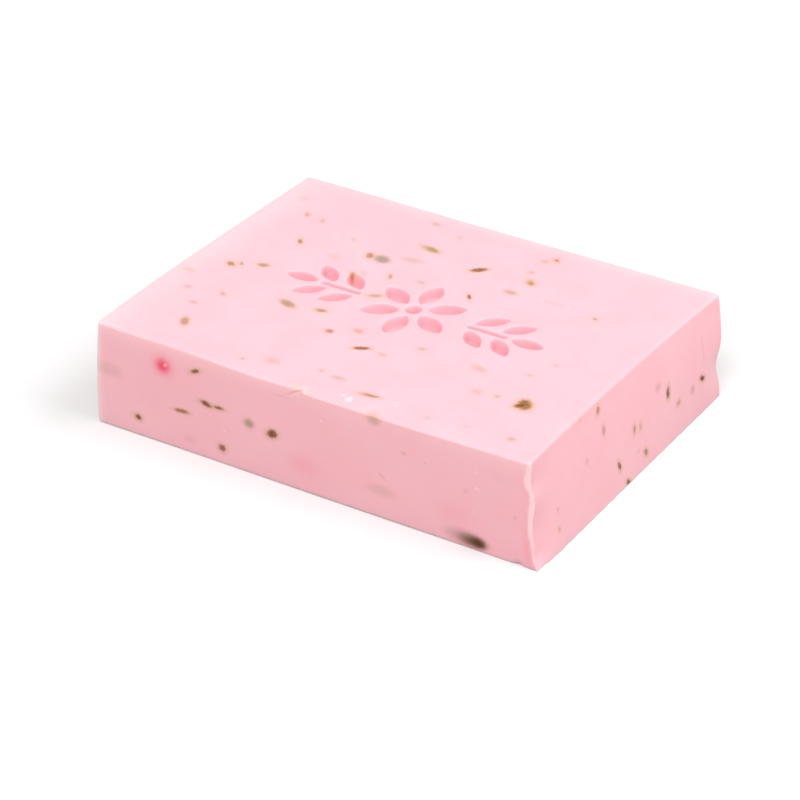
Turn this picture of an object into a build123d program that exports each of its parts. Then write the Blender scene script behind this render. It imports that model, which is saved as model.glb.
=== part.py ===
from build123d import *
import os
from math import radians, sqrt, tan

# A hand-cut bar of cast soap, in millimetres. It lies on its base with its length along X and its
# long front side facing -Y. The origin is the centre of the base of its bounding box.

# Overall size
bar_length = 85.8
bar_width = 63.5
bar_height = 19.4

# Both ends lean out from the top edge to the base. The right one was cut askew: it bulges at the rear,
# and its top edge is hollow between the corners.
left_lean = 1.0
front_lean = 2.1
rear_lean = 1.2
rear_bulge = 0.5
top_hollow = 0.7

# Worn edges
corner_radius = 0.6
top_edge_radius = 0.5
base_edge_radius = 0.5

# Ragged lip that the knife left down the front right corner: its widths from top to base
lip_widths = (0.5, 1.1, 0.5, 0.55, 0.7, 0.8, 0.9, 0.7)
lip_height = 0.35

# Thumb dent in the rear right corner and chip in the front edge of the base
dent_length = 8.0
dent_depth = 0.9
dent_from_base = 6.0
chip_length = 2.6
chip_depth = 0.4
chip_from_right = 4.6

# Sliver torn from the top front edge: a groove that deepens to the right and ends in a step
sliver_length = 6.0
sliver_depth = 0.6
sliver_radius = 1.3
sliver_from_left = 41.4

# Flower and sprigs pressed into the top
press_depth = 1.9
press_draft = 9.0
rim_width = 0.25
tip_radius = 0.4
heart_radius = 1.4
petal_count = 6
petal_start = 2.3
petal_length = 6.7
petal_width = 3.6
stem_start = 10.4
stem_length = 7.8
stem_width = 1.0
leaf_pairs = 2
leaf_pitch = 5.2
leaf_length = 6.2
leaf_width = 2.8
leaf_angle = 42.0
leaf_gap = 0.7

# Sides of the bar. The lip stands proud of the front side and reaches the bounding box.
left_x = -bar_length / 2
right_x = bar_length / 2
top_right_x = right_x - front_lean
front_y = -bar_width / 2 + lip_height
rear_y = bar_width / 2
knife_overrun = 4.0
diagonal = 1 / sqrt(2)


def end_x(y, z):
    """Place of the skewed right end at this depth and height."""
    rearward = (y - front_y) / (rear_y - front_y)
    rise = z / bar_height
    lean = front_lean + (rear_lean - front_lean) * rearward
    bulge = 4 * rear_bulge * rearward * rise * (1 - rise)
    dip = 4 * top_hollow * rearward * (1 - rearward) * rise ** 2
    return top_right_x + lean * (1 - rise) + bulge - dip


def upright(y):
    """Plane across the bar at one depth, with its own axes along X and Z."""
    return Plane(origin=(0, y, 0), x_dir=(1, 0, 0), z_dir=(0, -1, 0))


def cast_block():
    """Block with its left end leaning, still too long at its right end."""
    long_x = right_x + knife_overrun
    base = [(left_x, 0), (long_x, 0)]
    top = [(long_x, bar_height), (left_x + left_lean, bar_height)]
    profile = make_face(Polyline(*base, *top, close=True))
    return extrude(upright(rear_y) * profile, rear_y - front_y)


def end_waste():
    """What the knife took off the right end: all beyond a skew surface from front to rear."""
    low_z = -knife_overrun
    middle_z = bar_height / 2
    high_z = bar_height + knife_overrun
    far_x = right_x + 3 * knife_overrun
    sections = []
    for y in (front_y - knife_overrun, (front_y + rear_y) / 2, rear_y + knife_overrun):
        low = (end_x(y, low_z), low_z)
        middle = (end_x(y, middle_z), middle_z)
        high = (end_x(y, high_z), high_z)
        outline = make_face([
            ThreePointArc(low, middle, high),
            Line(high, (far_x, high_z)),
            Line((far_x, high_z), (far_x, low_z)),
            Line((far_x, low_z), low),
        ])
        sections.append(upright(y) * outline)
    return loft(sections)


def worn(block):
    """Block with its left corners rounded, then the edges round its top and base."""
    left_end = block.faces().sort_by(Axis.X)[0]
    block = fillet(left_end.edges().filter_by(Axis.Y, reverse=True), corner_radius)
    block = fillet(block.faces().sort_by(Axis.Z)[-1].edges(), top_edge_radius)
    return fillet(block.faces().sort_by(Axis.Z)[0].edges(), base_edge_radius)


def knife_lip():
    """Thin ragged flap down the front right corner, standing proud of the front side."""
    low_z = base_edge_radius
    high_z = bar_height - top_edge_radius
    step = (low_z - high_z) / (len(lip_widths) - 1)
    ragged = []
    for place, width in enumerate(lip_widths):
        z = high_z + place * step
        ragged.append((end_x(front_y, z) - width, z))
    corner_low = (end_x(front_y, low_z), low_z)
    corner_high = (end_x(front_y, high_z), high_z)
    outline = make_face([
        Line(corner_low, corner_high),
        Line(corner_high, ragged[0]),
        Spline(ragged),
        Line(ragged[-1], corner_low),
    ])
    return extrude(upright(front_y) * outline, lip_height)


def ball_bite(edge_point, outward, length, depth):
    """Ball that leaves a round dent of this length and depth where its cap meets an edge."""
    radius = (length ** 2 / 4 + depth ** 2) / (2 * depth)
    centre = Vector(*edge_point) + Vector(*outward) * (radius - depth)
    return Pos(*centre) * Sphere(radius)


def thumb_dent():
    """Dent in the rear right corner."""
    corner = (end_x(rear_y, dent_from_base), rear_y, dent_from_base)
    return ball_bite(corner, (diagonal, diagonal, 0), dent_length, dent_depth)


def base_chip():
    """Chip in the front edge of the base, near the right corner."""
    inset = base_edge_radius * (1 - diagonal)
    edge_point = (right_x - chip_from_right, front_y + inset, inset)
    return ball_bite(edge_point, (0, -diagonal, -diagonal), chip_length, chip_depth)


def torn_sliver():
    """Rod that dips into the top front edge from its left end to its right end."""
    inset = top_edge_radius * (1 - diagonal)
    edge_y = front_y + inset
    edge_z = bar_height - inset
    right_end = left_x + sliver_from_left
    shallow = sliver_radius * diagonal
    deep = (sliver_radius - sliver_depth) * diagonal
    left = Vector(right_end - sliver_length, edge_y - shallow, edge_z + shallow)
    right = Vector(right_end, edge_y - deep, edge_z + deep)
    axis = right - left
    return extrude(Plane(origin=left, z_dir=axis) * Circle(sliver_radius), axis.length)


def blade(length, width):
    """Pointed leaf or petal along +X from the origin: two arcs with rounded tips."""
    outline = make_face([
        ThreePointArc((0, 0), (length / 2, width / 2), (length, 0)),
        ThreePointArc((length, 0), (length / 2, -width / 2), (0, 0)),
    ])
    return fillet(outline.vertices(), tip_radius)


def flower():
    """Faces of the stamp's flower: a round heart and a ring of petals."""
    faces = [Circle(heart_radius)]
    for petal in range(petal_count):
        turn = 90 + petal * 360 / petal_count
        faces.append(Rot(0, 0, turn) * Pos(petal_start, 0) * blade(petal_length, petal_width))
    return faces


def sprig():
    """Faces of one sprig along +X: a stem, pairs of leaves and a leaf at its end."""
    stem = Pos(stem_start + stem_length / 2, 0) * SlotOverall(stem_length, stem_width)
    end_leaf = Pos(stem_start + stem_length + leaf_gap, 0) * blade(leaf_length, leaf_width)
    faces = [stem, end_leaf]
    for pair in range(leaf_pairs):
        foot_x = stem_start + leaf_gap + pair * leaf_pitch
        for side in (1, -1):
            foot = Pos(foot_x, side * (stem_width / 2 + leaf_gap)) * Rot(0, 0, side * leaf_angle)
            faces.append(foot * blade(leaf_length, leaf_width))
    return faces


def hollow(face):
    """Tool that presses one face of the stamp: a well with drafted walls under a soft 45 degree rim."""
    flare = rim_width * (1 - tan(radians(press_draft)))
    well = extrude(face, -press_depth, taper=press_draft)
    return well + extrude(offset(face, flare), -rim_width, taper=45)


def pressed(bar):
    """Bar with the ornament pressed into its top."""
    top = Plane(origin=(0, 0, bar_height), z_dir=(0, 0, 1))
    stamp = flower() + sprig() + [Rot(0, 0, 180) * face for face in sprig()]
    for face in stamp:
        bar -= top * hollow(face)
    return bar


soap_bar = worn(cast_block() - end_waste()) + knife_lip()
for bite in (thumb_dent(), base_chip(), torn_sliver()):
    soap_bar -= bite
soap_bar = pressed(soap_bar)

os.makedirs("parts", exist_ok=True)
export_step(soap_bar, "parts/soap_bar.step")
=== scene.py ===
from math import atan2, cos, pi, radians, sin, sqrt

import bpy
import numpy as np
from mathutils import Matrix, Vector
from mathutils.geometry import delaunay_2d_cdt

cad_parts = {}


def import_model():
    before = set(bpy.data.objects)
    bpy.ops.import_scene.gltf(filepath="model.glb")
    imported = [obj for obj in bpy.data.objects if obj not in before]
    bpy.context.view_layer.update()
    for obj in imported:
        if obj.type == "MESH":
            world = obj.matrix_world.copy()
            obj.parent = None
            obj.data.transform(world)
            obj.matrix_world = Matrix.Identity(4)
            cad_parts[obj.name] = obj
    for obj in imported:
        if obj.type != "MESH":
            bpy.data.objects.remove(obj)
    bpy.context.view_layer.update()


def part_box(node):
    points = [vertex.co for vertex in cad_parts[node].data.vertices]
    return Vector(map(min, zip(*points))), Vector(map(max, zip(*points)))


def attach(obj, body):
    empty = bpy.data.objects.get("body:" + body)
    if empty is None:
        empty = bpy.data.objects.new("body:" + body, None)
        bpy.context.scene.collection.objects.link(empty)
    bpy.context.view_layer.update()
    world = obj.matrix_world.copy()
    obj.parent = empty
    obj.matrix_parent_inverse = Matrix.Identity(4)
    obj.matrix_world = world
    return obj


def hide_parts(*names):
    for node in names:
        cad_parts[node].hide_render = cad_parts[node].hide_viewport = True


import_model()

# A hand-cut bar of cast soap with plant flecks. Sizes are in millimetres, and the mesh is made in metres.
MM = 0.001
low, high = (np.array(corner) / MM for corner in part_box("soap_bar"))

# Sides of the bar, from the frame. The frame's box also takes in a lip that stands proud of the front side.
LIP_HEIGHT = 0.35
BASE_LEFT, BASE_RIGHT = low[0], high[0]
FRONT, REAR = low[1] + LIP_HEIGHT, high[1]
HEIGHT = high[2]

# Ends, which lean out from the top edge to the base. The left one bows out. The right one was cut askew.
LEFT_LEAN = 1.0
LEFT_BOW = 0.5
LEFT_BULGE = 0.35
FRONT_LEAN = 2.1
REAR_LEAN = 1.2
REAR_BULGE = 0.5
TOP_HOLLOW = 0.7
TOP_LEFT = BASE_LEFT + LEFT_LEAN
TOP_RIGHT = BASE_RIGHT - FRONT_LEAN
LEAN_REACH = 20.0

# Edges: corner radii in the order front left, front right, rear right, rear left
CORNER_RADII = (0.8, 0.3, 0.3, 0.6)
SMALLEST_RADIUS = 0.12
TOP_RADIUS = 0.5
BASE_RADIUS = 0.2

# Mesh density, with finer stretches where the bar is torn or frayed. Each side has the places between which
# its steps change, by the direction in which the outline runs along it.
SIDE_STEP = 0.45
RISE_STEP = 0.3
FINE_STEP = 0.2
FINE_REACH = 3.0
TEAR_SPAN = (-9.0, 1.0)
FRONT_PLACES = (TOP_LEFT, *TEAR_SPAN, TOP_RIGHT - FINE_REACH, TOP_RIGHT)
SIDE_RUNS = {
    (1, 0): (FRONT_PLACES, (SIDE_STEP, FINE_STEP, SIDE_STEP, FINE_STEP)),
    (0, 1): ((FRONT, FRONT + FINE_REACH, REAR), (FINE_STEP, SIDE_STEP)),
    (-1, 0): ((TOP_LEFT, TOP_RIGHT), (SIDE_STEP,)),
    (0, -1): ((FRONT, REAR), (SIDE_STEP,)),
}
CORNER_STEPS = 5
TOP_EDGE_STEPS = 6
BASE_EDGE_STEPS = 3
TOP_STEP = 0.7
FLOOR_STEP = 0.5
BASE_STEP = 1.2
OUTLINE_STEP = 0.35
FILL_CLEARANCE = 0.3
FILL_JITTER = 0.15
TOP_SEED = 3
FLOOR_SEED = 5
BASE_SEED = 7
INSIDE_ONLY = 1
MERGE_DISTANCE = 1e-6

# Flower and sprigs pressed into the top
TIP_RADIUS = 0.4
HEART_RADIUS = 1.4
PETAL_COUNT = 6
PETAL_START = 2.3
PETAL_SIZE = (6.7, 3.6)
STEM_START = 10.4
STEM_SIZE = (7.8, 1.0)
LEAF_PAIRS = 2
LEAF_PITCH = 5.2
LEAF_SIZE = (6.2, 2.8)
LEAF_ANGLE = radians(42)
LEAF_GAP = 0.7

# Section of a pressed hollow: distance outside the outline, and height there. Painted shade deepens its
# colour from its rim down to HOLLOW_DEEP.
HOLLOW_SECTION = (
    (-0.42, -1.9), (-0.32, -1.82), (-0.24, -1.5), (-0.15, -0.9),
    (-0.06, -0.4), (0.02, -0.14), (0.1, -0.03), (0.2, 0.0),
)
HOLLOW_DEPTH = 2.0
HOLLOW_DEEP = 1.2
RING_TOLERANCE = 0.03

# Slow warp of the whole bar
WARP_LENGTH = 45.0
WARP_DEPTH = 0.1
WARP_SEEDS = (11, 12, 13)
RIPPLE_WAVES = 6

# Thumb dent in the rear right corner: its depth, height above the base, and reach up, down and inwards
DENT_DEPTH = 0.95
DENT_Z = 6.4
DENT_UP = 3.0
DENT_DOWN = 3.4
DENT_IN = 3.2

# Chip in the front edge of the base
CHIP_REACH = 2.6 / 3
CHIP_DEPTH = 0.3
CHIP_X = BASE_RIGHT - 3.6

# Top front edge: how far it is pushed out and worn down, and the share of that from left to right
FLARE_OUT = 0.06
FLARE_DOWN = 0.5
FLARE_REACH = 1.3
FLARE_PLACES = (-24.0, -18.0, -11.0, -6.0, -1.2, -0.6, 17.0, 24.0, 38.0)
FLARE_SHARES = (0.0, 0.3, 0.75, 0.6, 0.2, 1.2, 1.4, 1.1, 0.4)

# Sliver torn loose from that edge: its tip and root along X and Z on the front side, and the shares of its
# length over which it rises and fades out
SLIVER_TIP = (-0.9, 19.3)
SLIVER_ROOT = (-5.2, 16.7)
SLIVER_RISE = (-0.05, 0.03)
SLIVER_FADE = (0.1, 1.0)
SLIVER_LIFT = 0.22
SLIVER_EDGE = 0.15
SLIVER_BACK = (0.4, 1.3)
CREASE_DEPTH = 0.1
CREASE_WIDTH = 0.3

# Ragged lip that the knife left down the front right corner, at heights above the base: how far it reaches
# over the front side and round the corner, and how far the corner under it is worn in
LIP_PLACES = (0.3, 1.0, 2.0, 3.0, 4.5, 6.0, 8.0, 10.0, 11.0, 12.0, 13.0, 14.0, 14.5, 16.0, 17.0, 18.0, 19.0)
LIP_FRONT = (0.8, 0.95, 1.15, 1.25, 1.3, 1.45, 1.35, 1.1, 1.0, 0.75, 0.65, 0.7, 1.05, 1.2, 1.0, 0.8, 0.4)
LIP_ROUND = (0.2, 0.2, 0.2, 0.2, 0.3, 0.15, 0.2, 0.25, 0.3, 0.45, 0.3, 0.2, 0.1, 0.15, 0.2, 0.3, 0.4)
CORNER_WEAR = (0.3, 0.65, 0.85, 0.9, 0.85, 0.85, 0.75, 0.4, 0.2, 0.05, 0.05, 0.2, 0.4, 0.35, 0.25, 0.1, 0.0)
WEAR_REACH = 6.0
WEAR_FAIRING = 0.8
WEAR_SAMPLES = 5
LIP_LEAST = 0.12
LIP_PROUD = 0.2
LIP_EDGE = 0.15
LIP_RAG = 0.18
LIP_RAG_ROUND = 0.2
LIP_RAG_LENGTH = 1.0
LIP_SEED = 21

# Burr along the right edge of the base
BURR_REACH = 0.5
BURR_HEIGHT = 0.1
BURR_DIRECTION = (1, 0, 0.4)
BURR_LENGTH = 3.5
BURR_SEED = 31

# Painted glow and highlight where light shines through the thin top rims and left corners and catches the
# lip, and paler bruised soap at the burr and lip. Each top edge has a share, a reach over the top and one
# down the side. The lip's paleness rises from its edges inwards and from its foot to its full height.
RIMS = {"left": (0.36, 5.0, 1.0), "front": (0.38, 0.2, 2.2), "rear": (0.33, 2.2, 0.8)}
CORNER_GLOW = 0.95
CORNER_REACH = 1.1
BURR_PALENESS = 0.3
LIP_PALENESS = (0.4, 0.8)
LIP_FULL = 0.6
LIP_FOOT = 0.35
LIP_FULL_HEIGHT = 9.0

# Kinds of fleck: colour, softness of the outline and strength of the stain round it. A small fleck is more
# ragged for its size than a large one, up to FINEST.
FLECK_KINDS = {
    "bark": ((0.17, 0.020, 0.00), 0.45, 0.9),
    "leaf": ((0.20, 0.165, 0.07), 0.6, 0.65),
    "slate": ((0.24, 0.220, 0.17), 0.6, 0.35),
    "moss": ((0.18, 0.250, 0.18), 0.7, 0.35),
    "petal": ((0.38, 0.120, 0.09), 0.55, 0.5),
    "amber": ((0.70, 0.340, 0.15), 0.8, 0.0),
    "rose": ((0.88, 0.060, 0.13), 0.85, 0.0),
    "haze": ((0.39, 0.240, 0.20), 0.85, 0.0),
    "stain": ((0.14, 0.075, 0.02), 0.8, 0.0),
    "umber": ((0.09, 0.028, 0.01), 0.8, 0.0),
    "cream": ((0.95, 0.580, 0.46), 0.85, 0.0),
    # Painted glint: a small highlight, as on a pit, nick or scratch
    "glint": ((0.97, 0.800, 0.83), 0.5, 0.0),
}
FLECK_DEPTH = 1.5
FLECK_SPREAD = 2.7
FLECK_MARGIN = 1.3
FLECK_FAR = 8.0
FINENESS = 4.0
FINEST = 2.5
HALO_START = 0.9
HALO_WIDTH = 1.15
HALO_LIMIT = 0.55
HALO_COLOUR = (0.60, 0.38, 0.14, 1)

# Flecks: place along the face's two directions, length, width, turn in degrees, kind and strength.
# Places along X are counted from a little right of the frame's middle. On the top they are along X and Y.
FLECK_ORIGIN = 0.3
TOP_FLECKS = [
    (-38.0, 24.0, 2.0, 1.8, 0, "moss", 0.15),
    (-34.0, 19.0, 1.6, 0.9, -60, "petal", 0.40),
    (-30.5, 18.5, 1.6, 1.0, -55, "moss", 0.32),
    (-22.0, 15.5, 1.4, 0.8, -45, "moss", 0.25),
    (-29.5, 10.0, 1.6, 0.8, -60, "bark", 0.58),
    (-30.0, -0.5, 1.8, 1.2, 15, "leaf", 0.60),
    (-33.5, -2.0, 1.2, 0.6, -50, "slate", 0.60),
    (-35.0, -3.0, 1.5, 1.1, -30, "bark", 0.55),
    (-40.0, -8.5, 2.5, 1.2, 0, "moss", 0.25),
    (-36.5, -13.5, 1.5, 1.0, 0, "moss", 0.35),
    (-30.0, -12.5, 1.4, 0.8, -35, "petal", 0.42),
    (-32.5, -17.5, 1.3, 0.8, 0, "petal", 0.35),
    (-30.0, -23.5, 2.6, 1.4, -60, "leaf", 0.60),
    (-13.0, 28.0, 1.8, 1.2, 0, "moss", 0.35),
    (-7.0, 26.0, 1.6, 1.0, -40, "moss", 0.25),
    (-9.0, 19.5, 3.8, 1.6, -12, "leaf", 0.40),
    (-8.5, 19.5, 2.2, 1.1, -12, "leaf", 0.55),
    (-9.5, 14.5, 4.0, 1.6, 10, "moss", 0.30),
    (-14.0, 12.0, 3.0, 2.3, -20, "slate", 0.80),
    (-16.5, 12.0, 1.9, 1.2, -65, "bark", 0.50),
    (-21.5, 8.5, 2.0, 1.5, 0, "moss", 0.22),
    (2.0, 17.5, 2.8, 1.3, 42, "bark", 0.82),
    (12.0, 18.0, 1.2, 0.9, -30, "bark", 0.50),
    (11.5, 18.5, 2.0, 1.4, -60, "leaf", 0.32),
    (11.5, 27.5, 1.3, 0.8, -60, "bark", 0.40),
    (10.0, 26.0, 1.5, 1.2, 0, "moss", 0.32),
    (10.0, 21.5, 1.2, 1.0, 0, "moss", 0.35),
    (10.5, 13.5, 2.0, 1.2, 0, "leaf", 0.42),
    (27.0, 13.0, 0.9, 0.7, 0, "petal", 0.50),
    (-19.0, -9.5, 3.2, 1.6, -20, "leaf", 0.65),
    (-13.0, -8.5, 1.9, 1.1, 10, "leaf", 0.60),
    (-8.0, -13.5, 1.3, 1.1, 0, "petal", 0.75),
    (-4.0, -11.0, 1.9, 1.2, -20, "leaf", 0.35),
    (-0.5, -15.5, 2.6, 1.0, 28, "bark", 0.80),
    (3.5, -15.5, 1.6, 1.1, 0, "moss", 0.32),
    (8.0, -10.5, 1.0, 0.8, 0, "moss", 0.42),
    (19.0, -11.0, 2.8, 1.6, -15, "moss", 0.32),
    (-10.5, -26.5, 2.4, 1.6, 0, "moss", 0.28),
    (-15.0, -28.5, 0.8, 0.7, 0, "moss", 0.40),
    (-2.0, -25.0, 1.0, 0.9, 0, "moss", 0.32),
    (1.5, -25.5, 2.2, 1.3, 0, "moss", 0.36),
    (8.5, -27.5, 3.6, 1.2, 8, "leaf", 0.25),
    (9.0, -27.5, 2.6, 0.7, 8, "bark", 0.42),
    (29.0, -3.5, 0.9, 0.8, 0, "moss", 0.32),
    (27.0, -8.5, 1.0, 0.8, 0, "moss", 0.30),
    (22.5, -17.5, 2.0, 1.4, 0, "moss", 0.28),
    (26.0, -17.0, 1.1, 1.0, 0, "moss", 0.38),
    (31.0, -17.0, 3.6, 2.8, 125, "amber", 0.60),
    (31.0, -17.0, 2.7, 2.0, 125, "bark", 0.90),
    (30.5, -17.5, 2.0, 1.1, 50, "bark", 0.80),
    (31.0, -16.5, 2.4, 1.7, 125, "stain", 0.40),
    (34.5, -27.0, 1.3, 1.0, 0, "moss", 0.45),
    (26.5, -27.5, 0.8, 0.8, 0, "moss", 0.24),
    (5.5, 8.5, 1.7, 0.6, -55, "bark", 0.70),
    # Painted glints on the top
    (6.5, -30.0, 1.3, 1.0, 30, "glint", 0.55),
    (5.0, -29.5, 0.6, 0.5, 0, "glint", 0.50),
    (14.0, -28.0, 0.9, 0.6, 0, "glint", 0.30),
    (16.5, 14.0, 1.5, 0.4, -65, "glint", 0.35),
    (21.5, 14.0, 0.8, 0.4, -60, "glint", 0.35),
    (10.0, -25.5, 1.6, 0.5, -60, "glint", 0.20),
    (-15.5, 5.0, 1.2, 0.8, -55, "bark", 0.45),
    (-14.0, 6.0, 2.0, 0.9, -50, "amber", 0.45),
    (-9.5, 7.5, 1.5, 0.6, -60, "petal", 0.60),
    (-8.0, 0.5, 2.4, 1.1, 30, "leaf", 0.45),
    (-4.0, 8.5, 1.5, 1.0, 0, "moss", 0.35),
    (20.0, -28.5, 0.8, 0.8, 0, "moss", 0.25),
    (18.5, 14.0, 3.6, 0.8, 0, "rose", 0.12),
    (-2.3, -31.2, 3.4, 1.0, -6, "cream", 0.45),
]

# On the front side the places are along X and up.
FRONT_FLECKS = [
    (-29.0, 15.0, 3.6, 3.4, 0, "rose", 0.42),
    (-29.0, 15.0, 2.2, 2.0, 20, "rose", 0.90),
    # Painted highlight on the rose spot
    (-28.5, 15.3, 0.8, 0.7, 0, "glint", 0.35),
    (-22.5, 16.0, 1.7, 0.7, 25, "bark", 0.80),
    (-20.5, 10.5, 2.0, 0.9, -10, "bark", 0.85),
    (-18.0, 10.5, 1.7, 0.6, 0, "bark", 0.80),
    (-25.5, 7.5, 2.6, 0.7, 5, "bark", 0.64),
    (-34.5, 3.5, 1.1, 0.9, 0, "bark", 0.85),
    (-12.0, 9.5, 1.6, 1.4, 0, "leaf", 0.55),
    (-7.5, 9.0, 2.0, 1.4, 25, "bark", 0.90),
    (-17.5, 3.0, 1.3, 1.1, 0, "bark", 0.75),
    (12.0, 17.9, 2.2, 1.7, 0, "leaf", 0.28),
    (17.5, 13.5, 0.9, 0.6, 0, "haze", 0.28),
    (21.5, 13.0, 0.4, 0.4, 0, "haze", 0.25),
    (13.5, 8.0, 1.6, 0.35, -40, "haze", 0.30),
    (13.5, 5.2, 4.8, 1.8, 0, "leaf", 0.12),
    (-1.5, 5.0, 5.0, 3.0, 0, "rose", 0.14),
    (27.0, 5.5, 6.0, 3.0, 0, "rose", 0.10),
    (-40.0, 11.0, 5.0, 2.4, 0, "slate", 0.15),
    (29.0, 1.8, 6.0, 2.4, 0, "stain", 0.40),
    (30.5, 1.5, 4.2, 2.0, 0, "stain", 0.92),
    (31.5, 1.5, 2.2, 1.5, -10, "umber", 1.00),
    (29.0, 10.5, 1.0, 0.8, 0, "haze", 0.15),
    (38.0, 8.5, 0.7, 0.5, 0, "haze", 0.20),
    # Painted shade in the crease beside the lip
    (40.3, 3.0, 6.0, 1.4, 100, "rose", 0.16),
    # Painted glints on the front
    (-17.0, 6.5, 0.5, 0.4, 0, "glint", 0.50),
    (7.5, 15.5, 0.4, 0.4, 0, "glint", 0.50),
    (2.0, 14.5, 0.4, 0.4, 0, "glint", 0.50),
    (31.0, 14.5, 0.4, 0.4, 0, "glint", 0.40),
    (31.0, 11.5, 0.7, 0.5, 0, "glint", 0.40),
    (30.5, 7.0, 0.4, 0.4, 0, "glint", 0.30),
    (38.0, 5.0, 0.4, 0.4, 0, "glint", 0.30),
    (4.5, 1.5, 0.4, 0.4, 0, "glint", 0.30),
    (-24.0, 2.5, 2.0, 1.2, 0, "haze", 0.15),
    (34.5, 15.0, 3.0, 1.5, 0, "haze", 0.06),
    # Painted shade in the crease under the torn sliver
    (-3.0, 18.2, 3.4, 0.35, 32, "haze", 0.08),
    (-5.0, 16.7, 4.4, 0.35, -2, "haze", 0.12),
]

# On the right end the places are along Y and up.
RIGHT_FLECKS = [
    (24.5, 7.0, 1.6, 0.9, -30, "bark", 1.00),
    (12.5, 10.0, 1.8, 0.9, 90, "bark", 0.92),
    (13.0, 10.5, 2.6, 1.0, 90, "haze", 0.30),
    (16.0, 6.5, 1.3, 1.0, 0, "petal", 0.45),
    (21.0, 6.5, 1.6, 1.3, 90, "haze", 0.45),
    (9.5, 12.5, 1.7, 1.4, 0, "haze", 0.35),
    (-9.5, 17.5, 1.2, 0.8, 60, "bark", 0.50),
    (-8.5, 13.5, 1.5, 0.8, 90, "leaf", 0.45),
    (1.0, 9.0, 1.2, 0.7, 90, "bark", 0.48),
    (3.0, 8.5, 1.2, 0.8, 90, "leaf", 0.32),
    (4.5, 3.0, 1.4, 0.9, -50, "bark", 0.60),
    (-4.5, 5.0, 1.8, 0.8, -70, "bark", 0.82),
    (-1.5, 0.3, 1.8, 0.9, -50, "bark", 0.90),
    (-24.5, 7.5, 0.9, 0.7, 90, "haze", 0.40),
    (-24.5, 4.0, 0.8, 0.6, 90, "petal", 0.35),
    (-14.5, 11.0, 1.2, 1.0, 90, "haze", 0.25),
    (-17.0, 18.5, 1.6, 1.4, 0, "amber", 0.12),
    (25.0, 12.0, 6.0, 0.35, -85, "haze", 0.25),
    (2.0, 4.5, 1.0, 0.8, 0, "haze", 0.20),
    (-15.0, 18.5, 1.2, 0.8, 0, "leaf", 0.12),
]

# Flecks strewn over the other sides: the share of each kind, their ranges, and each side's count and seed
STREWN_KINDS = {"bark": 0.32, "leaf": 0.16, "slate": 0.06, "petal": 0.22, "amber": 0.10, "haze": 0.14}
STREWN_LENGTHS = (0.7, 2.4)
STREWN_WIDTHS = (0.35, 0.8)
STREWN_TURNS = (0, 180)
STREWN_STRENGTHS = (0.3, 0.95)
STREWN_MARGIN = 1.5
STREWN = {"rear": (17, 41), "left": (13, 42), "base": (42, 43)}

# Soap: its colours, cloudiness, skin, gloss and depth of light. Each noise has the size of its features and
# its detail.
SOAP_COLOUR = (0.935, 0.500, 0.557, 1)
SOAP_DEEP = (0.925, 0.475, 0.532, 1)
# Painted shade for the pressed hollows
SOAP_HOLLOW_SHADE = (0.91, 0.430, 0.485, 1)
# Pale colour for the painted glow, highlights and glints, and for bruised soap
SOAP_PALE = (1.0, 0.680, 0.700, 1)
CLOUD = (9.0, 3.0)
CLOUD_RANGE = (0.3, 0.7)
# Painted glints: fine pale dots of highlight, as on tiny pits
GLINT_DOTS = (0.8, 2.0)
GLINT_RANGE = (0.72, 0.80)
GLINT_SHARE = 0.4
RAG = (0.5, 2.0)
RAG_MIDDLE = (0.5, 0.5, 0.5)
RAG_STRENGTH = 1.4
GRAIN = (0.5, 2.0)
GRAIN_RANGE = (0.45, 0.75)
GRAIN_SHARE = 0.5
GRAIN_COLOUR = (0.45, 0.24, 0.15, 1)
SKIN = (0.6, 4.0)
SWELL = (4.0, 2.0)
SKIN_DEPTH = 0.12
SKIN_STRENGTH = 0.25
GLOSS = (6.0, 3.0)
GLOSS_RANGE = (0.3, 0.7)
ROUGHNESS = (0.42, 0.55)
SOAP_IOR = 1.46
SPECULAR_LEVEL = 0.25
SUBSURFACE = 0.5
SUBSURFACE_RADIUS = (1.0, 0.40, 0.35)
SUBSURFACE_SCALE = 1.5

# Stage: floor, sky and softboxes, each with its azimuth, elevation and strength
FLOOR_REACH = 3.0
FLOOR_WHITE = (0.85, 0.85, 0.85, 1)
FLOOR_BOUNCE = (0.30, 0.29, 0.28, 1)
FLOOR_ROUGHNESS = 0.9
SKY_COLOUR = (1, 1, 1, 1)
SKY_LIGHT = 0.5
LAMP_DISTANCE = 1.2
LAMP_SIZE = 0.9
LAMPS = (("front_softbox", 10, 45, 0.80), ("right_softbox", 110, 45, 0.66))

# Camera, at the photograph's viewing angle
CAMERA_AIM = (5.2, -12.3, 9.65)
CAMERA_AZIMUTH = 32.16
CAMERA_ELEVATION = 30.78
CAMERA_DISTANCE = 508.5
CAMERA_LENS = 139.5
CAMERA_NEAR = 10.0


def smooth(value, start, end):
    """Eased step from 0 at start to 1 at end."""
    share = np.clip((value - start) / (end - start), 0, 1)
    return share * share * (3 - 2 * share)


def lengths(start, end, step):
    """Places from start up to end, about one step apart, without the end."""
    count = max(1, int(round(abs(end - start) / step)))
    return np.linspace(start, end, count, endpoint=False)


def end_x(y, z):
    """Place of the skewed right end at this depth and height."""
    rearward = (y - FRONT) / (REAR - FRONT)
    rise = z / HEIGHT
    lean = FRONT_LEAN + (REAR_LEAN - FRONT_LEAN) * rearward
    bulge = 4 * REAR_BULGE * rearward * rise * (1 - rise)
    hollow = 4 * TOP_HOLLOW * rearward * (1 - rearward) * rise ** 2
    return TOP_RIGHT + lean * (1 - rise) + bulge - hollow


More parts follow.
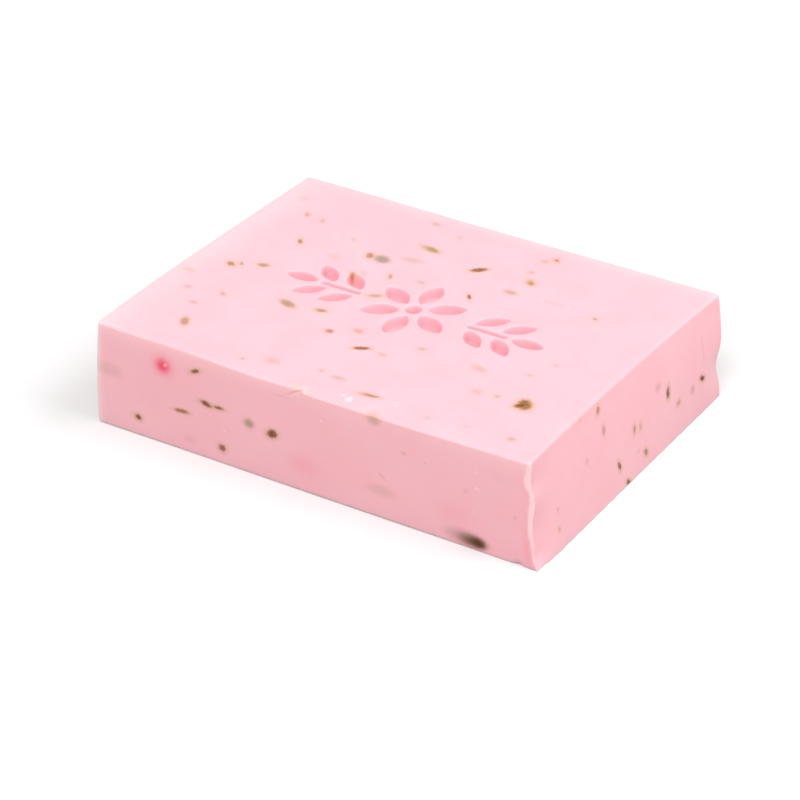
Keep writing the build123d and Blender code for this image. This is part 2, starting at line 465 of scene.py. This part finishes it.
def ring(inset):
    """Rounded outline of the straight block seen from above, this far inside its sides, anticlockwise."""
    left, right = TOP_LEFT + inset, TOP_RIGHT - inset
    front, rear = FRONT + inset, REAR - inset
    radii = [max(radius - inset, SMALLEST_RADIUS) for radius in CORNER_RADII]
    corners = ((left, front), (right, front), (right, rear), (left, rear))
    sides = ((1, 0), (0, 1), (-1, 0), (0, -1))
    points = []
    for place, (corner, radius) in enumerate(zip(corners, radii)):
        along = np.array(sides[place])
        back = np.array(sides[place - 1])
        centre = np.array(corner) + radius * (along - back)
        for turn in np.linspace(0, pi / 2, CORNER_STEPS, endpoint=False):
            points.append(centre + radius * (back * sin(turn) - along * cos(turn)))
        start = np.array(corner) + radius * along
        finish = np.array(corners[(place + 1) % 4]) - radii[(place + 1) % 4] * along
        points.extend(side_points(start, finish, along))
    return np.array(points)


def side_points(start, finish, along):
    """Points along one side of an outline, as many on every ring."""
    places, steps = SIDE_RUNS[tuple(along)]
    runs = [lengths(*span, step) for *span, step in zip(places, places[1:], steps)]
    shares = (np.concatenate(runs) - places[0]) / (places[-1] - places[0])
    return [start + share * (finish - start) for share in shares]


def girdle_section():
    """Inset and height of each ring round the bar, from the base up to the top."""
    section = []
    for turn in np.linspace(0, pi / 2, BASE_EDGE_STEPS, endpoint=False):
        section.append((BASE_RADIUS * (1 - sin(turn)), BASE_RADIUS * (1 - cos(turn))))
    fine_start = HEIGHT - FINE_REACH
    coarse = lengths(BASE_RADIUS, fine_start, RISE_STEP)
    fine = lengths(fine_start, HEIGHT - TOP_RADIUS, FINE_STEP)
    section.extend((0, z) for z in (*coarse, *fine))
    for turn in np.linspace(0, pi / 2, TOP_EDGE_STEPS):
        section.append((TOP_RADIUS * (1 - cos(turn)), HEIGHT - TOP_RADIUS * (1 - sin(turn))))
    return section


def arc(centre, radius, start, end):
    """Points along an arc and the directions in which they face."""
    count = max(CORNER_STEPS, int(radius * (end - start) / OUTLINE_STEP))
    turns = np.linspace(start, end, count, endpoint=False)
    facing = np.column_stack([np.cos(turns), np.sin(turns)])
    return np.array(centre) + radius * facing, facing


def straight(start, end, facing):
    """Points along a straight stretch of an outline and the direction in which they face."""
    shares = lengths(0, 1, OUTLINE_STEP / max(abs(end[0] - start[0]), OUTLINE_STEP))
    points = np.array(start) + shares[:, None] * (np.array(end) - np.array(start))
    return points, np.tile(facing, (len(points), 1))


def joined(stretches):
    """One outline from its stretches."""
    return tuple(np.concatenate(columns) for columns in zip(*stretches))


def blade_arcs(length, width):
    """Radius of a blade's sides, distance of their centres from its axis, and half its tips' span."""
    radius = (length ** 2 + width ** 2) / (4 * width)
    offset = radius - width / 2
    return radius, offset, sqrt((radius - TIP_RADIUS) ** 2 - offset ** 2)


def blade_outline(length, width):
    """Leaf or petal along +X from the origin: two arcs with rounded tips."""
    radius, offset, reach = blade_arcs(length, width)
    middle = length / 2
    slant = atan2(offset, reach)
    return joined([
        arc((middle + reach, 0), TIP_RADIUS, -slant, slant),
        arc((middle, -offset), radius, slant, pi - slant),
        arc((middle - reach, 0), TIP_RADIUS, pi - slant, pi + slant),
        arc((middle, offset), radius, pi + slant, 2 * pi - slant),
    ])


def blade_distance(x, y, length, width):
    """Distance outside a blade's outline."""
    radius, offset, reach = blade_arcs(length, width)
    x, y = abs(x - length / 2), abs(y)
    beyond_tip = (x - reach) * offset > y * reach
    to_tip = np.hypot(x - reach, y)
    to_side = np.hypot(x, y + offset) - (radius - TIP_RADIUS)
    return np.where(beyond_tip, to_tip, to_side) - TIP_RADIUS


def slot_outline(length, width):
    """Stem along +X from the origin, with round ends. A stem as long as it is wide is a disc."""
    radius = width / 2
    far = length - radius
    stretches = [arc((far, 0), radius, -pi / 2, pi / 2), arc((radius, 0), radius, pi / 2, 3 * pi / 2)]
    if length > width:
        stretches.append(straight((far, radius), (radius, radius), (0, 1)))
        stretches.append(straight((radius, -radius), (far, -radius), (0, -1)))
    return joined(stretches)


def slot_distance(x, y, length, width):
    """Distance outside a stem's outline."""
    radius = width / 2
    return np.hypot(x - np.clip(x, radius, length - radius), y) - radius


BLADE = (blade_outline, blade_distance)
SLOT = (slot_outline, slot_distance)


def stamp():
    """Every shape of the stamp: its form, size, foot and turn."""
    shapes = [(SLOT, (2 * HEART_RADIUS, 2 * HEART_RADIUS), (-HEART_RADIUS, 0), 0)]
    for petal in range(PETAL_COUNT):
        turn = pi / 2 + petal * 2 * pi / PETAL_COUNT
        shapes.append((BLADE, PETAL_SIZE, (PETAL_START * cos(turn), PETAL_START * sin(turn)), turn))
    for side in (1, -1):
        heading = 0 if side > 0 else pi
        shapes.append((SLOT, STEM_SIZE, (side * STEM_START, 0), heading))
        shapes.append((BLADE, LEAF_SIZE, (side * (STEM_START + STEM_SIZE[0] + LEAF_GAP), 0), heading))
        for pair in range(LEAF_PAIRS):
            foot_x = STEM_START + LEAF_GAP + pair * LEAF_PITCH
            foot_y = STEM_SIZE[1] / 2 + LEAF_GAP
            for hand in (1, -1):
                foot = (side * foot_x, side * hand * foot_y)
                shapes.append((BLADE, LEAF_SIZE, foot, heading + hand * LEAF_ANGLE))
    return shapes


def stamp_distance(points):
    """Distance of each point outside the nearest shape of the stamp."""
    nearest = np.full(len(points), np.inf)
    for (_, distance), size, foot, turn in stamp():
        x, y = points[:, 0] - foot[0], points[:, 1] - foot[1]
        along, across = x * cos(turn) + y * sin(turn), y * cos(turn) - x * sin(turn)
        nearest = np.minimum(nearest, distance(along, across, *size))
    return nearest


def stamp_rings():
    """Points on the walls of the pressed hollows, in rings round each outline."""
    found = []
    for (outline, _), size, foot, turn in stamp():
        points, facing = outline(*size)
        spin = np.array([[cos(turn), sin(turn)], [-sin(turn), cos(turn)]])
        for offset, _ in HOLLOW_SECTION:
            placed = (points + offset * facing) @ spin + np.array(foot)
            found.append(placed[abs(stamp_distance(placed) - offset) < RING_TOLERANCE])
    return np.concatenate(found)


def fill(step, inset, seed):
    """Evenly spread points over the bar's plan, at least this far inside its sides."""
    draw = np.random.default_rng(seed)
    rows = np.arange(FRONT + inset, REAR - inset, step * sqrt(3) / 2)
    columns = np.arange(TOP_LEFT + inset, TOP_RIGHT - inset - step / 2, step)
    x, y = np.meshgrid(columns, rows)
    x[1::2] += step / 2
    points = np.column_stack([x.ravel(), y.ravel()])
    return points + draw.uniform(-1, 1, points.shape) * FILL_JITTER * step


def sheet(border, inner):
    """Triangles over the inside of a border. The border's own points come first."""
    places = [Vector(point) for point in np.concatenate([border, inner])]
    made = delaunay_2d_cdt(places, [], [list(range(len(border)))], INSIDE_ONLY, MERGE_DISTANCE)
    points, triangles, sources = made[0], made[2], made[3]
    order = np.full(len(points), -1)
    count = len(border)
    for place, source in enumerate(sources):
        if source and source[0] < len(border):
            order[place] = source[0]
        else:
            order[place] = count
            count += 1
    placed = np.zeros((len(points), 2))
    placed[order] = [tuple(point) for point in points]
    return placed, order[np.array(triangles)]


def top_sheet(border):
    """Top of the bar: fine round the pressed hollows, even elsewhere."""
    open_field = fill(TOP_STEP, TOP_RADIUS + FILL_CLEARANCE, TOP_SEED)
    inner_edge, outer_edge = HOLLOW_SECTION[0][0], HOLLOW_SECTION[-1][0]
    open_field = open_field[stamp_distance(open_field) > outer_edge + FILL_CLEARANCE]
    floors = fill(FLOOR_STEP, TOP_RADIUS + FILL_CLEARANCE, FLOOR_SEED)
    floors = floors[stamp_distance(floors) < inner_edge - FILL_CLEARANCE]
    return sheet(border, np.concatenate([stamp_rings(), open_field, floors]))


def block():
    """Points and faces of the straight block with its ornament, before it is leaned and worn."""
    section = girdle_section()
    around = len(ring(0))
    points = [np.column_stack([ring(inset), np.full(around, z)]) for inset, z in section]
    faces = []
    for level in range(len(section) - 1):
        for place in range(around):
            here, after = level * around + place, level * around + (place + 1) % around
            faces.append((here, after, after + around, here + around))
    total = around * len(section)
    top, top_faces = top_sheet(points[-1][:, :2])
    offsets, heights = zip(*HOLLOW_SECTION)
    top_z = HEIGHT + np.interp(stamp_distance(top), offsets, heights)
    top_inner = np.column_stack([top, top_z])[around:]
    base_field = fill(BASE_STEP, BASE_RADIUS + FILL_CLEARANCE, BASE_SEED)
    base, base_faces = sheet(points[0][:, :2], base_field)
    base_inner = np.column_stack([base, np.zeros(len(base))])[around:]
    first_top = total
    first_base = total + len(top_inner)
    top_faces = np.where(top_faces < around, top_faces + total - around, top_faces - around + first_top)
    base_faces = np.where(base_faces < around, base_faces, base_faces - around + first_base)
    faces.extend(map(tuple, top_faces.tolist()))
    faces.extend(map(tuple, base_faces[:, ::-1].tolist()))
    return np.concatenate(points + [top_inner, base_inner]), faces


def leaned(points):
    """Points with both ends leaned out to their cuts."""
    x, y, z = points.T
    at_right = smooth(x, TOP_RIGHT - LEAN_REACH, TOP_RIGHT)
    at_left = smooth(-x, -TOP_LEFT - LEAN_REACH, -TOP_LEFT)
    across = 2 * (y - FRONT) / (REAR - FRONT) - 1
    rise = z / HEIGHT
    bow = LEFT_BOW * (1 - across ** 2) * rise + 4 * LEFT_BULGE * rise * (1 - rise)
    left_reach = LEFT_LEAN * (1 - rise) + bow
    shift = at_right * (end_x(y, z) - TOP_RIGHT) - at_left * left_reach
    return points + np.outer(shift, (1, 0, 0))


def ripple(points, wavelength, seed):
    """Smooth random height at each point, from about -1 to 1 and the same in every run."""
    draw = np.random.default_rng(seed)
    waves = draw.normal(size=(RIPPLE_WAVES, points.shape[1]))
    waves *= 2 * pi / wavelength / np.linalg.norm(waves, axis=1, keepdims=True)
    phases = draw.uniform(0, 2 * pi, RIPPLE_WAVES)
    return np.sin(points @ waves.T + phases).mean(axis=1) * sqrt(2)


def hump(value, width):
    """Round hump of height 1, centred on 0."""
    return np.exp(-(value / width) ** 2)


def warped(points):
    """Points moved by a slow warp, as no side of a hand-cut bar is quite flat."""
    shifts = [ripple(points, WARP_LENGTH, seed) for seed in WARP_SEEDS]
    return points + np.column_stack(shifts) * WARP_DEPTH


def dented(points):
    """Points with the thumb dent in the rear right corner."""
    x, y, z = points.T
    corner_distance = np.hypot(x - end_x(REAR, z), y - REAR)
    above = z - DENT_Z
    tall = hump(above, np.where(above > 0, DENT_UP, DENT_DOWN))
    return points - np.outer(DENT_DEPTH * tall * hump(corner_distance, DENT_IN), (1, 1, 0)) / sqrt(2)


def chipped(points):
    """Points with the chip in the front edge of the base, near the right corner."""
    x, y, z = points.T
    edge_distance = np.hypot(y - FRONT, z)
    depth = CHIP_DEPTH * hump(x - CHIP_X, CHIP_REACH) * hump(edge_distance, CHIP_REACH)
    return points + np.outer(depth, (0, 1, 1)) / sqrt(2)


def flared(points):
    """Points with the top front edge pushed out and down, most at the torn sliver."""
    x, y, z = points.T
    share = np.interp(x, FLARE_PLACES, FLARE_SHARES)
    weight = share * hump(np.hypot(y - FRONT, z - HEIGHT), FLARE_REACH)
    return points - np.outer(weight, (0, FLARE_OUT, FLARE_DOWN))


def torn(points):
    """Points with the sliver that was torn loose from the top front edge, and the crease under it."""
    x, y, z = points.T
    tip, root = np.array(SLIVER_TIP), np.array(SLIVER_ROOT)
    span = np.linalg.norm(root - tip)
    along = (root - tip) / span
    up = np.array((along[1], -along[0]))
    from_tip = np.column_stack([x, z]) - tip
    share = from_tip @ along / span
    height = from_tip @ up
    fade = smooth(share, *SLIVER_RISE) * (1 - smooth(share, *SLIVER_FADE))
    fade *= 1 - smooth(y - FRONT, *SLIVER_BACK)
    lift = SLIVER_LIFT * smooth(height, 0, SLIVER_EDGE)
    crease = CREASE_DEPTH * hump(height, CREASE_WIDTH)
    return points - np.outer(fade * (lift - crease), (0, 1, 0))


def corner_wear(z):
    """How far the front right corner is worn in at these heights."""
    offsets = np.linspace(-WEAR_FAIRING, WEAR_FAIRING, WEAR_SAMPLES)
    return np.mean([np.interp(z + offset, LIP_PLACES, CORNER_WEAR) for offset in offsets], axis=0)


def worn(points):
    """Points with the front right corner worn in under the lip."""
    x, y, z = points.T
    end = end_x(y, z)
    beside = smooth(x, end - WEAR_REACH, end) * (1 - smooth(y, FRONT, FRONT + WEAR_REACH))
    return points - np.outer(corner_wear(z) * beside, (1, 0, 0))


def lip_place(points):
    """Share of the lip at each point, from 0 at its two edges to 1 at the corner, and that share's slope."""
    x, y, z = points.T
    rag = LIP_RAG * ripple(points[:, 2:], LIP_RAG_LENGTH, LIP_SEED)
    over_front = np.maximum(np.interp(z, LIP_PLACES, LIP_FRONT) - corner_wear(z) + rag, LIP_LEAST)
    round_corner = np.maximum(np.interp(z, LIP_PLACES, LIP_ROUND) + LIP_RAG_ROUND * rag, LIP_LEAST)
    corner = end_x(FRONT, z) - corner_wear(z)
    share = 1 - (corner - x) / over_front - (y - FRONT) / round_corner
    return share, np.column_stack([-1 / over_front, 1 / round_corner])


def lipped(points):
    """Points with the front right corner beaten flat to a ragged lip that stands a little proud."""
    share, slope = lip_place(points)
    steepness = np.linalg.norm(slope, axis=1)
    depth = np.clip(share, 0, 1) / steepness - LIP_PROUD * smooth(share, 0, LIP_EDGE)
    moved = points.copy()
    moved[:, :2] += slope * (depth / steepness)[:, None]
    return moved


def burred(points):
    """Points with a rough burr along the right edge of the base."""
    x, y, z = points.T
    near = hump(np.hypot(x - end_x(y, z), z), BURR_REACH)
    rough = ripple(points[:, 1:2], BURR_LENGTH, BURR_SEED)
    return points + np.outer(BURR_HEIGHT * near * rough, BURR_DIRECTION)


def painted_glow_and_bruise(block_points, unlipped):
    """Painted glow and highlight at the rims, left corners and lip, and paler bruised soap at the burr and
    lip.
    """
    x, y, z = block_points.T
    insets = {"left": x - TOP_LEFT, "front": y - FRONT, "rear": REAR - y}
    pale = []
    for side, (share, over, down) in RIMS.items():
        pale.append(share * hump(np.hypot(insets[side] / over, (HEIGHT - z) / down), 1))
    inset_y = np.minimum(y - FRONT, REAR - y)
    pale.append(CORNER_GLOW * hump(np.hypot(insets["left"], inset_y), CORNER_REACH))
    pale.append(BURR_PALENESS * hump(np.hypot(TOP_RIGHT - x, z), BURR_REACH))
    lip_share = lip_place(unlipped)[0]
    fullness = LIP_FOOT + (1 - LIP_FOOT) * smooth(z, 0, LIP_FULL_HEIGHT)
    lip_tone = np.interp(lip_share * fullness, (0, LIP_FULL), LIP_PALENESS)
    pale.append(lip_tone * fullness * smooth(lip_share, 0, LIP_EDGE))
    return np.maximum.reduce(pale)


def hollow_shade(block_points):
    """Painted shade in the pressed hollows, from 0 at the rim to 1 near the floor, by how deep each point
    lies.
    """
    inside = stamp_distance(block_points[:, :2]) < HOLLOW_SECTION[-1][0]
    depth = HEIGHT - block_points[:, 2]
    return inside * (depth < HOLLOW_DEPTH) * smooth(depth, 0, HOLLOW_DEEP)


def face_place(face, a, b):
    """Point of the bar at these two places along one of its faces."""
    x = FLECK_ORIGIN + a
    return {
        "top": (x, b, HEIGHT),
        "base": (x, b, 0),
        "front": (x, FRONT, b),
        "rear": (x, REAR, b),
        "left": (BASE_LEFT + LEFT_LEAN * b / HEIGHT, a, b),
        "right": (end_x(a, b), a, b),
    }[face]


def face_axes(face):
    """Directions of the two places along a face."""
    first = (0, 1, 0) if face in ("left", "right") else (1, 0, 0)
    second = (0, 1, 0) if face in ("top", "base") else (0, 0, 1)
    return np.array(first), np.array(second)


def scattered(face, span_a, span_b, count, seed):
    """Flecks strewn over a face that the photograph doesn't show."""
    draw = np.random.default_rng(seed)
    kinds = draw.choice(list(STREWN_KINDS), count, p=list(STREWN_KINDS.values()))
    rows = []
    for kind in kinds:
        length = draw.uniform(*STREWN_LENGTHS)
        width = length * draw.uniform(*STREWN_WIDTHS)
        place = (draw.uniform(*span_a), draw.uniform(*span_b))
        turn = draw.uniform(*STREWN_TURNS)
        rows.append((*place, length, width, turn, kind, draw.uniform(*STREWN_STRENGTHS)))
    return face, rows


def fleck_rows():
    """Every fleck of the bar, face by face."""
    across = (TOP_LEFT + STREWN_MARGIN, TOP_RIGHT - STREWN_MARGIN)
    deep = (FRONT + STREWN_MARGIN, REAR - STREWN_MARGIN)
    tall = (STREWN_MARGIN, HEIGHT - STREWN_MARGIN)
    return [
        ("top", TOP_FLECKS),
        ("front", FRONT_FLECKS),
        ("right", RIGHT_FLECKS),
        scattered("rear", across, tall, *STREWN["rear"]),
        scattered("left", deep, tall, *STREWN["left"]),
        scattered("base", across, deep, *STREWN["base"]),
    ]


class Fleck:
    """One fleck in the soap: its centre, its own axes over its half sizes, its reach, colour and look."""

    def __init__(self, face, row):
        a, b, length, width, turn, kind, strength = row
        first, second = face_axes(face)
        along = cos(radians(turn)) * first + sin(radians(turn)) * second
        across = cos(radians(turn)) * second - sin(radians(turn)) * first
        inward = np.cross(first, second)
        self.centre = np.array(face_place(face, a, b))
        self.axes = np.column_stack([along * 2 / length, across * 2 / width, inward / FLECK_DEPTH])
        self.reach = FLECK_SPREAD * max(length, width) / 2 + FLECK_MARGIN
        self.colour, self.softness, self.halo = FLECK_KINDS[kind]
        self.fineness = min(FINENESS / (length + width), FINEST)
        self.strength = strength

    def clear_of(self, other):
        """Whether the two are far enough apart to share a layer."""
        return np.linalg.norm(self.centre - other.centre) > self.reach + other.reach + FLECK_MARGIN


def fleck_layers():
    """Flecks in layers that keep neighbours apart. Where two overlap, the later one lies on top."""
    layers = []
    for face, rows in fleck_rows():
        for row in rows:
            fleck = Fleck(face, row)
            place = len(layers)
            while place and all(fleck.clear_of(other) for other in layers[place - 1]):
                place -= 1
            if place == len(layers):
                layers.append([])
            layers[place].append(fleck)
    return layers


def paint_flecks(mesh, points, layer, name):
    """Writes each point's place in its nearest fleck's own axes, with the fleck's colour and look."""
    places = np.tile((0.0, 0.0, FLECK_FAR), (len(points), 1))
    tints = np.zeros((len(points), 4))
    looks = np.zeros((len(points), 3))
    for fleck in layer:
        near = np.linalg.norm(points - fleck.centre, axis=1) < fleck.reach
        places[near] = (points[near] - fleck.centre) @ fleck.axes
        places[near, 2] = abs(places[near, 2])
        tints[near] = (*fleck.colour, fleck.strength)
        looks[near] = (fleck.softness, fleck.halo * min(fleck.strength, HALO_LIMIT), fleck.fineness)
    write_attribute(mesh, name + "_place", "FLOAT_VECTOR", "vector", places)
    write_attribute(mesh, name + "_tint", "FLOAT_COLOR", "color", tints)
    write_attribute(mesh, name + "_look", "FLOAT_VECTOR", "vector", looks)


def write_attribute(mesh, name, kind, field, values):
    """One value for each point of a mesh."""
    attribute = mesh.attributes.new(name, kind, "POINT")
    attribute.data.foreach_set(field, np.asarray(values, np.float32).ravel())


def linked(name, data):
    """New object in the scene."""
    made = bpy.data.objects.new(name, data)
    bpy.context.scene.collection.objects.link(made)
    return made


def soap_bar(layers):
    """The finished bar as one object."""
    straight_points, faces = block()
    points = leaned(straight_points)
    for change in (warped, dented, chipped, flared, torn, worn):
        points = change(points)
    # Painted glow and highlight, with paler bruised soap at the burr and lip
    pale = painted_glow_and_bruise(straight_points, points)
    points = np.clip(burred(lipped(points)), low, high)
    mesh = bpy.data.meshes.new("soap_bar_cast")
    mesh.from_pydata((points * MM).tolist(), [], faces)
    mesh.shade_smooth()
    write_attribute(mesh, "painted_glow_and_bruise", "FLOAT", "value", pale)
    # Painted shade in the pressed hollows
    write_attribute(mesh, "hollow_shade", "FLOAT", "value", hollow_shade(straight_points))
    for place, layer in enumerate(layers):
        paint_flecks(mesh, points, layer, f"flecks_{place}")
    return linked("soap_bar_cast", mesh)


def add(tree, kind, inputs, **settings):
    """New shader node. Each input is a value or another node's output."""
    made = tree.nodes.new("ShaderNode" + kind)
    for name, value in settings.items():
        setattr(made, name, value)
    for name, value in inputs.items():
        if isinstance(value, bpy.types.NodeSocket):
            tree.links.new(value, made.inputs[name])
        else:
            made.inputs[name].default_value = value
    return made


def attribute(tree, name):
    """Node that reads a point's own value."""
    return add(tree, "Attribute", {}, attribute_name=name)


def computed(tree, operation, first, second):
    """Result of one sum."""
    return add(tree, "Math", {0: first, 1: second}, operation=operation).outputs[0]


def mix(tree, share, first, second):
    """Colour between two others."""
    return add(tree, "Mix", {0: share, 6: first, 7: second}, data_type="RGBA").outputs[2]


def noise(tree, where, size, detail, kind="Fac"):
    """Cloudy noise whose features are about this many millimetres across."""
    made = add(tree, "TexNoise", {"Vector": where, "Scale": 1 / (size * MM), "Detail": detail})
    return made.outputs[kind]


def spread(tree, value, start, end, to_start=0.0, to_end=1.0):
    """Value eased from one range to another."""
    inputs = {"Value": value, "From Min": start, "From Max": end, "To Min": to_start, "To Max": to_end}
    return add(tree, "MapRange", inputs, interpolation_type="SMOOTHSTEP").outputs[0]


def flecked(tree, colour, name, ragged, grain):
    """Colour with one layer of flecks over it: a stained ring round each, then the fleck itself."""
    look = attribute(tree, name + "_look").outputs["Vector"]
    softness, halo, fineness = add(tree, "SeparateXYZ", {0: look}).outputs
    edge = computed(tree, "ADD", 1.0, softness)
    core = computed(tree, "SUBTRACT", 1.0, softness)
    wobble = computed(tree, "MULTIPLY", core, fineness)
    shift = add(tree, "VectorMath", {0: ragged, "Scale": wobble}, operation="SCALE").outputs["Vector"]
    place = add(tree, "VectorMath", {0: attribute(tree, name + "_place").outputs["Vector"], 1: shift})
    distance = add(tree, "VectorMath", {0: place.outputs["Vector"]}, operation="LENGTH").outputs["Value"]
    ring_end = computed(tree, "ADD", 1.0, computed(tree, "MULTIPLY", fineness, HALO_WIDTH))
    stain = computed(tree, "MULTIPLY", spread(tree, distance, ring_end, HALO_START), halo)
    stained = mix(tree, stain, colour, HALO_COLOUR)
    tint = attribute(tree, name + "_tint").outputs
    body = computed(tree, "MULTIPLY", spread(tree, distance, edge, core), tint["Alpha"])
    grained = mix(tree, computed(tree, "MULTIPLY", grain, core), tint["Color"], GRAIN_COLOUR)
    return mix(tree, body, stained, grained)


def soap_material(layer_count):
    """Pale pink soap: clouded colour, painted glow, shade and glints, plant flecks and a fine uneven skin.
    """
    material = bpy.data.materials.new("soap")
    material.use_nodes = True
    tree = material.node_tree
    shader = tree.nodes["Principled BSDF"]
    where = add(tree, "TexCoord", {}).outputs["Object"]

    cloud = spread(tree, noise(tree, where, *CLOUD), *CLOUD_RANGE)
    colour = mix(tree, cloud, SOAP_COLOUR, SOAP_DEEP)
    # Painted shade in the pressed hollows
    colour = mix(tree, attribute(tree, "hollow_shade").outputs["Fac"], colour, SOAP_HOLLOW_SHADE)
    # Painted glow and highlight on rims, corners and lip, with paler bruised soap
    colour = mix(tree, attribute(tree, "painted_glow_and_bruise").outputs["Fac"], colour, SOAP_PALE)
    # Painted glints: fine pale dots of highlight
    glints = spread(tree, noise(tree, where, *GLINT_DOTS), *GLINT_RANGE, 0.0, GLINT_SHARE)
    colour = mix(tree, glints, colour, SOAP_PALE)

    rag = {0: noise(tree, where, *RAG, "Color"), 1: RAG_MIDDLE}
    centred = add(tree, "VectorMath", rag, operation="SUBTRACT").outputs["Vector"]
    scaled = {0: centred, "Scale": RAG_STRENGTH}
    ragged = add(tree, "VectorMath", scaled, operation="SCALE").outputs["Vector"]
    grain = spread(tree, noise(tree, where, *GRAIN), *GRAIN_RANGE, 0.0, GRAIN_SHARE)
    for place in range(layer_count):
        colour = flecked(tree, colour, f"flecks_{place}", ragged, grain)
    tree.links.new(colour, shader.inputs["Base Color"])

    skin = computed(tree, "ADD", noise(tree, where, *SKIN), noise(tree, where, *SWELL))
    bump = add(tree, "Bump", {"Height": skin, "Strength": SKIN_STRENGTH, "Distance": SKIN_DEPTH * MM})
    tree.links.new(bump.outputs["Normal"], shader.inputs["Normal"])
    gloss = spread(tree, noise(tree, where, *GLOSS), *GLOSS_RANGE, *ROUGHNESS)
    tree.links.new(gloss, shader.inputs["Roughness"])
    shader.inputs["IOR"].default_value = SOAP_IOR
    shader.inputs["Specular IOR Level"].default_value = SPECULAR_LEVEL
    shader.inputs["Subsurface Weight"].default_value = SUBSURFACE
    shader.inputs["Subsurface Radius"].default_value = SUBSURFACE_RADIUS
    shader.inputs["Subsurface Scale"].default_value = SUBSURFACE_SCALE * MM
    return material


def seen_directly(tree):
    """1 for rays from the camera, a reflection or a clear material, 0 for light that bounces."""
    path = add(tree, "LightPath", {}).outputs
    seen = computed(tree, "ADD", path["Is Camera Ray"], path["Is Glossy Ray"])
    return add(tree, "Math", {0: seen, 1: path["Is Transmission Ray"]}, use_clamp=True).outputs[0]


def floor():
    """Plain floor, white to the camera and grey to the light that bounces off it."""
    corners = [(-FLOOR_REACH, -FLOOR_REACH, 0), (FLOOR_REACH, -FLOOR_REACH, 0)]
    corners += [(FLOOR_REACH, FLOOR_REACH, 0), (-FLOOR_REACH, FLOOR_REACH, 0)]
    mesh = bpy.data.meshes.new("floor")
    mesh.from_pydata(corners, [], [(0, 1, 2, 3)])
    material = bpy.data.materials.new("floor")
    material.use_nodes = True
    tree = material.node_tree
    shader = tree.nodes["Principled BSDF"]
    tree.links.new(mix(tree, seen_directly(tree), FLOOR_BOUNCE, FLOOR_WHITE), shader.inputs["Base Color"])
    shader.inputs["Roughness"].default_value = FLOOR_ROUGHNESS
    shader.inputs["Specular IOR Level"].default_value = 0.0
    mesh.materials.append(material)
    linked("floor", mesh)


def outward(azimuth, elevation):
    """Direction from the object towards a camera or lamp. Azimuth 0 is in front and 90 to the right."""
    turn, rise = radians(azimuth), radians(elevation)
    return Vector((sin(turn) * cos(rise), -cos(turn) * cos(rise), sin(rise)))


def camera():
    """Camera at the photograph's angle."""
    data = bpy.data.cameras.new("camera")
    data.lens = CAMERA_LENS
    data.clip_start = CAMERA_NEAR * MM
    eye = linked("camera", data)
    back = outward(CAMERA_AZIMUTH, CAMERA_ELEVATION)
    eye.location = (Vector(CAMERA_AIM) + back * CAMERA_DISTANCE) * MM
    eye.rotation_euler = (-back).to_track_quat("-Z", "Y").to_euler()
    bpy.context.scene.camera = eye


def lamp(name, azimuth, elevation, strength):
    """Large square softbox. A strength of 1 renders a colour as it is written on a side that faces it."""
    data = bpy.data.lights.new(name, "AREA")
    data.size = LAMP_SIZE
    data.energy = strength * pi ** 2 * LAMP_DISTANCE ** 2
    box = linked(name, data)
    back = outward(azimuth, elevation)
    box.location = back * LAMP_DISTANCE
    box.rotation_euler = (-back).to_track_quat("-Z", "Y").to_euler()


def world():
    """Even light from all round, and white behind everything."""
    made = bpy.data.worlds.new("world")
    made.use_nodes = True
    tree = made.node_tree
    strength = spread(tree, seen_directly(tree), 0.0, 1.0, SKY_LIGHT, 1.0)
    background = tree.nodes["Background"]
    background.inputs["Color"].default_value = SKY_COLOUR
    tree.links.new(strength, background.inputs["Strength"])
    bpy.context.scene.world = made


layers = fleck_layers()
bar = soap_bar(layers)
bar.data.materials.append(soap_material(len(layers)))
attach(bar, "root")
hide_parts("soap_bar")
floor()
camera()
for name, azimuth, elevation, strength in LAMPS:
    lamp(name, azimuth, elevation, strength)
world()
bpy.context.scene.view_settings.view_transform = "Standard"
